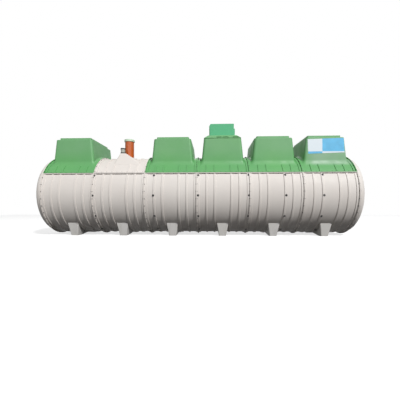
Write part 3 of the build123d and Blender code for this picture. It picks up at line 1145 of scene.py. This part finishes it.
@dataclass
class EndCaps:
    """Dished ends: a flat lip, a short flange, a tight knuckle and a wide crown."""

    tank: TankFrame
    depth: float = 0.265
    flange: float = 0.016
    knuckle: float = 0.120
    lip_bend: float = 0.006
    knuckle_steps: int = 9
    crown_steps: int = 14

    def rings(self, lip_x: float) -> list[tuple[float, float]]:
        """Return X and radius of the rings from the lip to the tip of the crown.

        Args:
            lip_x: X of the lip.

        Returns:
            The rings, the last of them with no radius.
        """
        rim = self.tank.shell_radius - self.knuckle
        bend_x = lip_x + self.flange
        rise = self.depth - self.flange
        crown = (rim**2 + rise**2 - self.knuckle**2) / (2 * (rise - self.knuckle))
        crown_x = bend_x + rise - crown
        blend = math.atan2(rim, bend_x - crown_x)
        rings = [(lip_x, self.tank.shell_radius + self.lip_bend),
                 (lip_x + self.lip_bend, self.tank.shell_radius)]
        for step in range(self.knuckle_steps + 1):
            turn = math.pi / 2 - (math.pi / 2 - blend) * step / self.knuckle_steps
            rings.append((bend_x + self.knuckle * math.cos(turn), rim + self.knuckle * math.sin(turn)))
        for step in range(1, self.crown_steps):
            turn = blend * (1 - step / self.crown_steps)
            rings.append((crown_x + crown * math.cos(turn), crown * math.sin(turn)))
        return [*rings, (crown_x + crown, 0.0)]

    def right_cap(self) -> Piece:
        """Return the dished end at the high end of X."""
        tank = self.tank
        x, radius = tank.half_length + tank.wall, tank.lip_radius
        cap = add(bpy.ops.mesh.primitive_circle_add, "dished_end_right", vertices=tank.hoop_steps,
                  radius=radius, location=tank.axis_point(x), rotation=(0.0, math.pi / 2, 0.0))
        with editing(cap):
            pick_all()
            for next_x, next_radius in self.rings(x):
                bpy.ops.mesh.extrude_edges_move()
                if next_radius > 0.0:
                    shrink = next_radius / radius
                    resize((1.0, shrink, shrink), tank.axis_point(x))
                bpy.ops.transform.translate(value=(next_x - x, 0.0, 0.0))
                x, radius = next_x, next_radius
            bpy.ops.mesh.merge(type="CENTER")
            turn_faces_out()
        if cap.data.polygons[-1].normal.x < 0:
            flip(cap)
        thicken(cap, tank.wall)
        round_edges(cap, LIP_ROUNDING, 2, LIP_ANGLE)
        smooth(cap, SHELL_SMOOTHING)
        return cap

    def build(self, grey: Finish) -> None:
        """Model both ends.

        Args:
            grey: Material of the ends.
        """
        right = self.right_cap()
        left = copy_along(right, "dished_end_left", 0.0)
        with editing(left):
            pick_all()
            resize((-1.0, 1.0, 1.0), (0.0, 0.0, 0.0))
        point_outwards(left)
        smooth(left, SHELL_SMOOTHING)
        finish_piece(right, grey, "grey_grp", "end_cap_right")
        finish_piece(left, grey, "grey_grp", "end_cap_left")


@dataclass
class Saddles:
    """Saddle feet under the ring sections."""

    tank: TankFrame
    top_width: float = 0.245
    sole_width: float = 0.145
    top_angle: float = 47.0
    sole_set_in: float = 0.075
    sole_depth: float = 0.150
    corner: float = 0.016
    arch_rise: float = 0.046
    arch_reach: float = 0.3
    arch_tip: float = 0.02
    arch_flare: float = 2.0
    seat_gap: float = 0.0006
    rounding: float = 0.004

    def arch(self, middle: float, inner: float) -> Piece:
        """Return the wedge that is cut out between the two feet of a saddle.

        Args:
            middle: X of the middle of the saddle.
            inner: Half of the space between the soles.

        Returns:
            The wedge.
        """
        wedge = add_block("arch", (middle - self.arch_reach, -inner, -self.arch_rise),
                          (middle + self.arch_reach, inner, self.arch_rise))
        with editing(wedge):
            pick(Picked.VERTS, lambda vert: vert.co.z > 0)
            resize((1.0, self.arch_tip, 1.0), (middle, 0.0, 0.0))
            cut_off((0.0, 0.0, -0.002), (0.0, 0.0, -1.0), fill=True)
            pick(Picked.VERTS, lambda vert: vert.co.z < 0)
            resize((1.0, self.arch_flare, 1.0), (middle, 0.0, 0.0))
        return wedge

    def first_saddle(self) -> Piece:
        """Return the saddle of the first section."""
        tank = self.tank
        middle = tank.middle(1)
        turn = math.radians(self.top_angle)
        edge_y = tank.shell_radius * math.cos(turn)
        sole_y = edge_y - self.sole_set_in
        top_z = tank.axis_z - tank.shell_radius * math.sin(turn)
        saddle = add_block("saddle_feet_1", (middle - self.top_width / 2, -edge_y, 0.0),
                           (middle + self.top_width / 2, edge_y, top_z))
        with editing(saddle):
            pick(Picked.VERTS, lambda vert: vert.co.z < CLOSE)
            resize((self.sole_width / self.top_width, sole_y / edge_y, 1.0), (middle, 0.0, 0.0))
        round_uprights(saddle, self.corner, 4)
        seat = add_drum("seat", tank.shell_radius + self.seat_gap, 1.0, tank.axis_point(middle), "X",
                        tank.hoop_steps * 2)
        combine(saddle, seat, Join.CUT)
        combine(saddle, self.arch(middle, sole_y - self.sole_depth), Join.CUT)
        round_edges(saddle, self.rounding, 2, 40.0)
        smooth(saddle)
        return saddle

    def build(self, plastic: Finish) -> None:
        """Model one saddle and copy it under each section.

        Args:
            plastic: Material of the saddles.
        """
        first = self.first_saddle()
        for number in range(2, SECTION_COUNT + 1):
            twin = copy_along(first, f"saddle_feet_{number}", self.tank.pitch * (number - 1))
            finish_piece(twin, plastic, "saddle_grp", f"saddle_{number}")
        finish_piece(first, plastic, "saddle_grp", "saddle_1")


@dataclass
class RiserLids:
    """Lids of the risers: four flat ones and a hooded one under the blower housing."""

    tank: TankFrame
    corner: float = 0.024
    skirt_wall: float = 0.008
    panel_inset: float = 0.070
    panel_height: float = 0.004
    rim_rounding: float = 0.005
    hood_slope_width: float = 0.078
    hood_slope_height: float = 0.068
    hood_rounding: float = 0.003
    slot_spans: tuple[tuple[float, float], ...] = ((-0.125, -0.020), (0.005, 0.121), (0.212, 0.341))
    slot_above_rim: float = 0.010
    slot_height: float = 0.018
    slot_depth: float = 0.060

    def lid_form(self, number: int, lowered: float) -> Piece:
        """Return the outer form of a lid in its CAD box.

        Args:
            number: The section that it closes.
            lowered: How far its top lies below the top of the box.

        Returns:
            The form.
        """
        low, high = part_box(f"riser_lid_{number}")
        lid = add_block(f"lid_{number}", low, (high[0], high[1], high[2] - lowered))
        round_uprights(lid, self.corner, 7)
        return lid

    def hollow_out(self, lid: Piece, number: int) -> None:
        """Cut the space round the riser's upstand out of a lid.

        Args:
            lid: The lid.
            number: The section that it closes.
        """
        low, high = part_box("riser_lid_1")
        shift = self.tank.middle(number) - self.tank.middle(1)
        wall = self.skirt_wall
        ceiling = self.tank.riser_top_z + self.tank.upstand_height
        hollow = add_block("hollow", (low[0] + shift + wall, low[1] + wall, low[2] - 0.01),
                           (high[0] + shift - wall, high[1] - wall, ceiling))
        round_uprights(hollow, self.corner - wall, 5)
        combine(lid, hollow, Join.CUT)

    def flat_lid(self, number: int) -> Piece:
        """Return a flat lid with a raised panel.

        Args:
            number: The section that it closes.

        Returns:
            The lid.
        """
        low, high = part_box(f"riser_lid_{number}")
        inset = self.panel_inset
        lid = self.lid_form(number, self.panel_height)
        with editing(lid):
            pick(Picked.EDGES, at_top(high[2] - self.panel_height))
            bevel(self.rim_rounding, 3)
        panel = add_block("panel", (low[0] + inset, low[1] + inset, high[2] - self.skirt_wall),
                          (high[0] - inset, high[1] - inset, high[2]))
        round_uprights(panel, self.corner, 5)
        with editing(panel):
            pick(Picked.EDGES, at_top(high[2]))
            bevel(self.panel_height * 0.9, 3)
        combine(lid, panel, Join.UNION)
        self.hollow_out(lid, number)
        smooth(lid)
        return lid

    def hooded_lid(self, number: int) -> Piece:
        """Return the hooded lid, with sloping sides and grip slots in its front slope.

        Args:
            number: The section that it closes.

        Returns:
            The lid.
        """
        lid = self.lid_form(number, 0.0)
        low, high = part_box(f"riser_lid_{number}")
        middle = self.tank.middle(number)
        wide = (high[0] - low[0]) / 2
        deep = (high[1] - low[1]) / 2
        with editing(lid):
            pick(Picked.FACES, lambda face: face.normal.z > FLAT)
            bpy.ops.transform.translate(value=(0.0, 0.0, -self.hood_slope_height))
            bpy.ops.mesh.extrude_region_move(TRANSFORM_OT_translate={"value": (0, 0, self.hood_slope_height)})
            shrink = (1 - self.hood_slope_width / wide, 1 - self.hood_slope_width / deep, 1.0)
            resize(shrink, (middle, 0.0, high[2]))
        self.hollow_out(lid, number)
        slot_z = high[2] - self.hood_slope_height + self.slot_above_rim
        for start, end in self.slot_spans:
            slot = add_block("slot", (middle + start, low[1] - 0.01, slot_z),
                             (middle + end, low[1] + self.slot_depth, slot_z + self.slot_height))
            combine(lid, slot, Join.CUT)
        round_edges(lid, self.hood_rounding, 3, 20.0)
        smooth(lid)
        return lid

    def build(self, green: Finish) -> None:
        """Model every lid.

        Args:
            green: Material of the lids.
        """
        for number in range(1, SECTION_COUNT + 1):
            if number != INLET_SECTION:
                lid = self.hooded_lid(number) if number == HOUSING_SECTION else self.flat_lid(number)
                finish_piece(lid, green, "green_lid", f"riser_lid_{number}")


@dataclass
class BlowerHousing:
    """Housing on the hooded lid, with its cover."""

    corner: float = 0.028
    wall: float = 0.006
    cover_inset: float = 0.020
    cover_corner: float = 0.018
    slope_width: float = 0.028
    slope_height: float = 0.050
    rim_height: float = 0.006
    rounding: float = 0.0025

    def body(self) -> Piece:
        """Return the open-topped body."""
        body = add_block("housing_body", *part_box("blower_housing"))
        round_uprights(body, self.corner, 6)
        with editing(body):
            pick(Picked.FACES, lambda face: face.normal.z > FLAT)
            bpy.ops.mesh.delete(type="FACE")
        thicken(body, self.wall)
        return body

    def cover_form(self, name: str, inset: float) -> Piece:
        """Return a block of the cover, with its sloping top edge on the left.

        Args:
            name: Name of the block.
            inset: How far its faces lie inside the cover's.

        Returns:
            The block.
        """
        low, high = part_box("housing_cover")
        top = high[2] - inset
        left = low[0] + inset
        set_in = self.cover_inset + inset
        form = add_block(name, (left, low[1] + set_in, low[2] - inset),
                         (high[0] - set_in, high[1] - set_in, top))
        round_uprights(form, self.cover_corner - inset, 5)
        with editing(form):
            cut_off((left, 0.0, top - self.slope_height), (-self.slope_height, 0.0, self.slope_width), fill=True)
        return form

    def cover(self) -> Piece:
        """Return the cover with its rim, hollow from below."""
        low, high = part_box("housing_cover")
        cover = self.cover_form("housing_hood", 0.0)
        rim = add_block("rim", low, (high[0], high[1], low[2] + self.rim_height))
        round_uprights(rim, self.corner, 6)
        combine(cover, rim, Join.UNION)
        combine(cover, self.cover_form("hollow", self.wall), Join.CUT)
        return cover

    def build(self, plastic: Finish) -> None:
        """Model the housing and its cover.

        Args:
            plastic: Material of both.
        """
        for model, node in ((self.body, "blower_housing"), (self.cover, "housing_cover")):
            piece = model()
            round_edges(piece, self.rounding, 2, 50.0)
            smooth(piece)
            finish_piece(piece, plastic, "housing_grp", node)


@dataclass
class InletFittings:
    """Inlet pipe with its cap, and the vent stub with its bands."""

    pipe_wall: float = 0.006
    band_wall: float = 0.005
    steps: int = 72

    def drum_in(self, name: str, node: str, capped: bool) -> Piece:
        """Add an upright drum in the place of a CAD node.

        Args:
            name: Name of the piece.
            node: The node whose box it fills.
            capped: Whether its ends are closed.

        Returns:
            The drum.
        """
        low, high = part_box(node)
        middle = tuple((a + b) / 2 for a, b in zip(low, high))
        return add_drum(name, (high[0] - low[0]) / 2, high[2] - low[2], middle, "Z", self.steps, capped)

    def tube(self, name: str, node: str, wall: float) -> Piece:
        """Return an open tube in the place of a CAD node.

        Args:
            name: Name of the piece.
            node: The node whose box it fills.
            wall: Wall thickness.

        Returns:
            The tube.
        """
        tube = self.drum_in(name, node, False)
        thicken(tube, wall)
        round_edges(tube, min(0.002, wall / 3), 2, 50.0)
        smooth(tube)
        return tube

    def closed_cup(self, name: str, node: str, wall: float, rounding: float) -> Piece:
        """Return a cup with its mouth down in the place of a CAD node.

        Args:
            name: Name of the piece.
            node: The node whose box it fills.
            wall: Wall thickness.
            rounding: Rounding of the top edge.

        Returns:
            The cup.
        """
        cup = self.drum_in(name, node, True)
        with editing(cup):
            pick(Picked.EDGES, at_top(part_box(node)[1][2]))
            bevel(rounding, 4)
            pick(Picked.FACES, lambda face: face.normal.z > FLAT)
            bpy.ops.mesh.inset(thickness=rounding * 2)
            bpy.ops.transform.translate(value=(0.0, 0.0, -rounding * 0.5))
            pick(Picked.FACES, lambda face: face.normal.z < -FLAT)
            bpy.ops.mesh.delete(type="FACE")
        thicken(cup, wall)
        round_edges(cup, 0.0012, 2, 55.0)
        smooth(cup)
        return cup

    def build(self, orange: Finish, cap: Finish, stub: Finish, rubber: Finish) -> None:
        """Model the fittings.

        Args:
            orange: Material of the pipe.
            cap: Material of its cap.
            stub: Material of the vent stub.
            rubber: Material of the bands.
        """
        finish_piece(self.tube("drain_pipe", "inlet_pipe", self.pipe_wall), orange, "orange_pipe", "inlet_pipe")
        finish_piece(self.closed_cup("pipe_cap", "inlet_pipe_cap", 0.010, 0.006), cap, "cap_plastic",
                     "inlet_pipe_cap")
        finish_piece(self.closed_cup("stub", "vent_stub", 0.005, 0.004), stub, "stub_plastic", "vent_stub")
        for place in ("lower", "upper"):
            band = self.tube(f"band_{place}", f"stub_band_{place}", self.band_wall)
            finish_piece(band, rubber, "dark_rubber", f"stub_band_{place}")


@dataclass
class Bolts:
    """Bolts round the seams, along the joint and at the inner partitions."""

    tank: TankFrame
    head_radius: float = 0.0080
    head_height: float = 0.0060
    head_chamfer: float = 0.0014
    washer_radius: float = 0.0095
    washer_height: float = 0.0016
    per_ring: int = 36
    ring_start: float = 2.5
    ring_setback: float = 0.0115
    lip: float = 0.009
    joint_spacing: float = 0.105
    joint_setback: float = 0.021
    partition_x: tuple[float, ...] = (-2.081, -0.86, 0.03, 1.03, 1.75, 2.476)
    partition_angles: tuple[float, ...] = (26.0, -3.0, -33.0, -63.0)
    stud_radius: float = 0.0165
    stud_flatness: float = 0.7
    stud_washer: float = 1.35
    stud_washer_height: float = 0.004
    stud_steps: int = 20

    def bolt(self, foot: Point, axis: str, lift: int) -> Piece:
        """Return a hexagon head on a washer.

        Args:
            foot: Point on the face that the washer lies on.
            axis: "X" or "Z".
            lift: 1 or -1, the way the head stands along the axis.

        Returns:
            The bolt.
        """
        along = Vector((1, 0, 0)) if axis == "X" else Vector((0, 0, 1))
        washer_middle = Vector(foot) + along * lift * self.washer_height / 2
        head_middle = Vector(foot) + along * lift * (self.washer_height + self.head_height / 2)
        washer = add_drum("washer", self.washer_radius, self.washer_height, tuple(washer_middle), axis, 12)
        head = add_drum("head", self.head_radius, self.head_height, tuple(head_middle), axis, 6)
        outer = head_middle + along * lift * self.head_height / 2
        with editing(head):
            pick(Picked.EDGES, lambda edge: all(abs((v.co - outer).dot(along)) < CLOSE for v in edge.verts))
            bevel(self.head_chamfer, 1)
        return join_pieces("bolt", [washer, head])

    def seam_ring(self, number: int) -> Piece:
        """Return the bolts and nuts round one seam.

        Args:
            number: The seam, from 0 at the low end of X.

        Returns:
            The bolts as one piece.
        """
        tank = self.tank
        x = -tank.half_length + number * tank.pitch
        angle = math.radians(self.ring_start)
        reach = tank.lip_radius - self.ring_setback
        y, z = -reach * math.cos(angle), tank.axis_z + reach * math.sin(angle)
        pairs = [self.bolt((x + side * self.lip, y, z), "X", side) for side in SIDES]
        ring = join_pieces(f"seam_bolts_{number + 1}", pairs)
        with editing(ring):
            pick_all()
            bpy.ops.mesh.spin(steps=self.per_ring - 1, angle=math.tau * (self.per_ring - 1) / self.per_ring,
                              dupli=True, center=tank.axis_point(x), axis=(1.0, 0.0, 0.0))
        point_outwards(ring)
        return ring

    def joint_row(self, side: int) -> Piece:
        """Return the bolts and nuts along one joint lip.

        Args:
            side: -1 for the front and 1 for the back.

        Returns:
            The bolts as one piece.
        """
        tank = self.tank
        count = round(tank.pitch / self.joint_spacing)
        gap = tank.pitch / count
        start = -tank.half_length + gap / 2
        y = side * (tank.joint_reach(tank.lip_radius) - self.joint_setback)
        pairs = [self.bolt((start, y, tank.joint_z + lift * tank.joint_lip), "Z", lift) for lift in SIDES]
        row = join_pieces("joint_bolts_front" if side < 0 else "joint_bolts_back", pairs)
        apply_modifier(row, "ARRAY", use_relative_offset=False, use_constant_offset=True,
                       constant_offset_displace=(gap, 0.0, 0.0), count=count * SECTION_COUNT)
        return row

    def stud(self, foot: Point, angle: float, side: int) -> Piece:
        """Return one domed head on a washer, standing out of the shell.

        Args:
            foot: Point on the shell.
            angle: Degrees above the horizontal through the axis.
            side: -1 for the front and 1 for the back.

        Returns:
            The stud.
        """
        washer = add(bpy.ops.mesh.primitive_cylinder_add, "washer", vertices=self.stud_steps,
                     radius=self.stud_radius * self.stud_washer, depth=self.stud_washer_height)
        head = add(bpy.ops.mesh.primitive_uv_sphere_add, "head", segments=self.stud_steps,
                   ring_count=self.stud_steps // 2, radius=self.stud_radius)
        head.scale = (1.0, 1.0, self.stud_flatness)
        stud = join_pieces("stud", [washer, head])
        stud.rotation_euler = (-side * (math.pi / 2 - math.radians(angle)), 0.0, 0.0)
        stud.location = foot
        settle(stud)
        return stud

    def partition_studs(self) -> Piece:
        """Return the large domed heads that hold the inner partitions."""
        places = [(x, angle, side) for x in self.partition_x for angle in self.partition_angles
                  for side in SIDES]
        studs = [self.stud(self.tank.on_ribs(*place), *place[1:]) for place in places]
        return join_pieces("partition_studs", studs)

    def build(self, steel: Finish) -> None:
        """Model all bolts.

        Args:
            steel: Material of the bolts.
        """
        pieces = [self.seam_ring(number) for number in range(SECTION_COUNT + 1)]
        pieces += [self.joint_row(side) for side in SIDES]
        pieces.append(self.partition_studs())
        for piece in pieces:
            smooth(piece)
            finish_piece(piece, steel, "dark_rubber")


@dataclass
class LabelPlate:
    """Plain blue and white film on the front of the last riser, laid over its rounded edges."""

    tank: TankFrame
    width: float = 0.732
    height: float = 0.300
    shift: float = 0.0115
    top_below_riser: float = 0.028
    split_shift: float = -0.075
    strip_height: float = 0.036
    tilt: float = 1.7
    start_y: float = -0.8
    lift: float = 0.0008
    thickness: float = 0.0012
    columns: int = 72
    rows: int = 30

    def build(self, white: Colour, blue: Colour) -> None:
        """Model the film and dress it.

        Args:
            white: Colour of the plain part.
            blue: Colour of the field.
        """
        middle = self.tank.middle(LABEL_SECTION) + self.shift
        centre_z = self.tank.riser_top_z - self.top_below_riser - self.height / 2
        plate = add(bpy.ops.mesh.primitive_grid_add, "label_plate", x_subdivisions=self.columns,
                    y_subdivisions=self.rows, size=1.0)
        plate.location = (middle, self.start_y, centre_z)
        plate.rotation_euler = (math.pi / 2, -math.radians(self.tilt), 0.0)
        plate.scale = (self.width, self.height, 1.0)
        settle(plate)
        riser = bpy.data.objects[f"riser_shell_{LABEL_SECTION}"]
        apply_modifier(plate, "SHRINKWRAP", target=riser, wrap_method="PROJECT", wrap_mode="ABOVE_SURFACE",
                       use_project_y=True, use_negative_direction=False, use_positive_direction=True,
                       offset=self.lift)
        if plate.data.polygons[0].normal.y > 0:
            flip(plate)
        thicken(plate, -self.thickness)
        smooth(plate)
        strip_z = centre_z - self.height / 2 + self.strip_height
        film = PrintedPlate("printed_plate", white, blue, middle + self.split_shift, strip_z)
        finish_piece(plate, film.build(), "green_grp")


@dataclass(frozen=True)
class Lamp:
    """A square area lamp: where it stands, what it faces, the length of its sides and its power in watts."""

    name: str
    place: Point
    aim: Point
    size: float
    power: float


@dataclass(frozen=True)
class Studio:
    """Camera, floor and lights."""

    camera_place: Point = (0.307, -5.985, 0.571)
    camera_turn: float = 0.0371
    focal_pixels: float = 262.3
    frame_pixels: float = 400.0
    centre_pixels: tuple[float, float] = (202.35, 208.6)
    sensor: float = 36.0
    floor_size: float = 36.0
    floor_glow: float = 0.70
    floor_hidden: float = 0.05
    floor_seen: float = 0.46
    room_colour: Colour = (0.93, 0.96, 1.0)
    room_strength: float = 0.10
    lamps: tuple[Lamp, ...] = (
        Lamp("key", (20.5, -31.0, 31.0), (0.3, 0.0, 0.9), 5.0, 24700.0),
        Lamp("fill", (-4.0, -12.0, 7.0), (-0.5, 0.0, 1.0), 6.0, 420.0),
        Lamp("back", (0.0, 9.0, 9.0), (0.0, 0.0, 1.2), 5.0, 160.0),
    )

    def add_camera(self) -> None:
        """Create the camera at the photograph's place and make it the scene's camera."""
        data = bpy.data.cameras.new("camera")
        data.sensor_width = self.sensor
        data.lens = self.sensor * self.focal_pixels / self.frame_pixels
        half = self.frame_pixels / 2
        data.shift_x = (half - self.centre_pixels[0]) / self.frame_pixels
        data.shift_y = (self.centre_pixels[1] - half) / self.frame_pixels
        camera = bpy.data.objects.new("camera", data)
        bpy.context.scene.collection.objects.link(camera)
        camera.location = self.camera_place
        camera.rotation_euler = (math.pi / 2, 0.0, self.camera_turn)
        bpy.context.scene.camera = camera

    def add_floor(self) -> None:
        """Add the pale floor."""
        floor = add(bpy.ops.mesh.primitive_plane_add, "floor", size=self.floor_size, location=(0.0, 0.0, 0.0))
        sheet = NodeSheet("floor_paint")
        sheet.set(roughness=0.9, emission_color=(1.0, 1.0, 1.0, 1.0), specular_ior_level=0.1)
        seen = seen_directly(sheet.tree)
        tone = sheet.mix(seen, (*[self.floor_hidden] * 3, 1.0), (*[self.floor_seen] * 3, 1.0))
        sheet.link(tone, sheet.surface.inputs["Base Color"])
        sheet.link(sheet.multiply(seen, self.floor_glow), sheet.surface.inputs["Emission Strength"])
        floor.data.materials.append(sheet.material)

    def add_lamp(self, lamp: Lamp) -> None:
        """Add a lamp to the scene.

        Args:
            lamp: What it is like.
        """
        data = bpy.data.lights.new(lamp.name, "AREA")
        data.size = lamp.size
        data.energy = lamp.power
        light = bpy.data.objects.new(lamp.name, data)
        bpy.context.scene.collection.objects.link(light)
        light.location = lamp.place
        light.rotation_euler = (Vector(lamp.aim) - Vector(lamp.place)).to_track_quat("-Z", "Y").to_euler()

    def add_world(self) -> None:
        """Light the room evenly, and show plain white to the camera."""
        world = bpy.data.worlds.new("room")
        bpy.context.scene.world = world
        world.use_nodes = True
        tree = world.node_tree
        tree.nodes.clear()
        room, white = (tree.nodes.new("ShaderNodeBackground") for _ in range(2))
        room.inputs["Color"].default_value = (*self.room_colour, 1.0)
        room.inputs["Strength"].default_value = self.room_strength
        white.inputs["Color"].default_value = (1.0, 1.0, 1.0, 1.0)
        mix = tree.nodes.new("ShaderNodeMixShader")
        output = tree.nodes.new("ShaderNodeOutputWorld")
        tree.links.new(seen_directly(tree), mix.inputs["Fac"])
        tree.links.new(room.outputs["Background"], mix.inputs[1])
        tree.links.new(white.outputs["Background"], mix.inputs[2])
        tree.links.new(mix.outputs["Shader"], output.inputs["Surface"])

    def build(self) -> None:
        """Set up the whole studio."""
        self.add_camera()
        self.add_floor()
        self.add_world()
        for lamp in self.lamps:
            self.add_lamp(lamp)
        bpy.context.scene.view_settings.view_transform = "Standard"


def main() -> None:
    """Build the studio and every sub-assembly in order."""
    logging.basicConfig(level=logging.INFO, format="%(name)s %(message)s")
    Studio().build()
    tank = TankFrame()
    grey = MouldedShell("grey_gelcoat", (0.838, 0.816, 0.795), (0.818, 0.792, 0.77), (0.45, 0.40, 0.32)).build()
    # The green is paler high up, partly chalking and partly painted sheen, with a painted sheen on the front of
    # the last riser.
    green = MouldedShell("green_gelcoat", (0.342, 0.585, 0.357), (0.352, 0.605, 0.352), (0.30, 0.36, 0.24),
                         0.55, 0.0, 0.5, soil_amount=0.0, bloom_amount=0.16, end_bloom=0.70).build()
    saddle = MouldedShell("saddle_gelcoat", (0.835, 0.825, 0.815), (0.815, 0.805, 0.785), (0.38, 0.33, 0.26),
                          soil_amount=0.25).build()
    housing = PlainPlastic("housing_plastic", (0.285, 0.635, 0.45), (0.325, 0.665, 0.49), 0.5, 0.02).build()
    orange = PlainPlastic("drain_plastic", (0.675, 0.31, 0.08), (0.72, 0.39, 0.16), 0.34).build()
    cap = PlainPlastic("cap_plastic", (0.72, 0.80, 0.70), (0.82, 0.86, 0.80)).build()
    stub = PlainPlastic("stub_plastic", (0.62, 0.63, 0.60), (0.72, 0.72, 0.70)).build()
    rubber = PlainPlastic("band_rubber", (0.13, 0.13, 0.13), (0.22, 0.22, 0.21), 0.6).build()
    steel = DarkSteel("bolt_steel", (0.15, 0.15, 0.15), 0.3).build()
    RingSections(tank).build(grey, green)
    EndCaps(tank).build(grey)
    Saddles(tank).build(saddle)
    RiserLids(tank).build(green)
    BlowerHousing().build(housing)
    InletFittings().build(orange, cap, stub, rubber)
    Bolts(tank).build(steel)
    LabelPlate(tank).build((0.84, 0.875, 0.90), (0.354, 0.667, 0.826))


if __name__ == "__main__":
    main()
